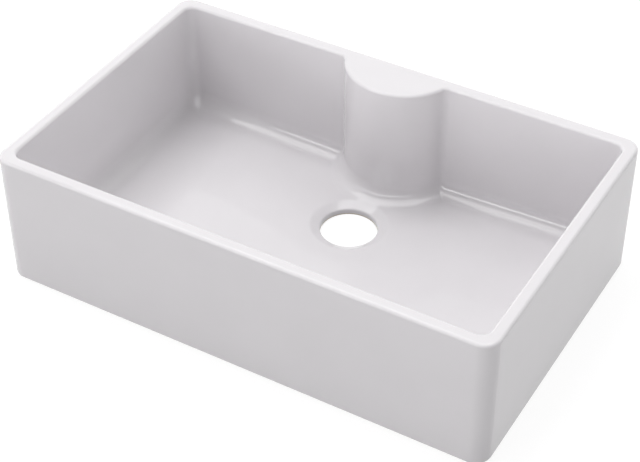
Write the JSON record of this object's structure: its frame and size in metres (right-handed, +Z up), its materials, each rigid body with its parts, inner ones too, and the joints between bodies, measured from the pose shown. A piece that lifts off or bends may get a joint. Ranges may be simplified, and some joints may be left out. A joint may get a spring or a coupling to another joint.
{
  "type": "butler sink",
  "caption": "Rectangular glazed fireclay butler sink with a deep bowl, a round waste hole in a shallow dish and a rounded blank tap ledge at the back.",
  "frame": {"origin": "centre of the flat underside, at the level that the sink stands on", "axes": "+X to the right as seen from the front, +Y towards the tap ledge at the back, +Z up"},
  "size_m": [0.795, 0.5, 0.22],
  "materials": {
    "fireclay": "bare fired clay, matt and slightly rough",
    "white_glaze": "glossy white vitreous glaze"
  },
  "bodies": {
    "root": {"fireclay_body": "fireclay", "glaze_coat": "white_glaze"}
  },
  "joints": []
}
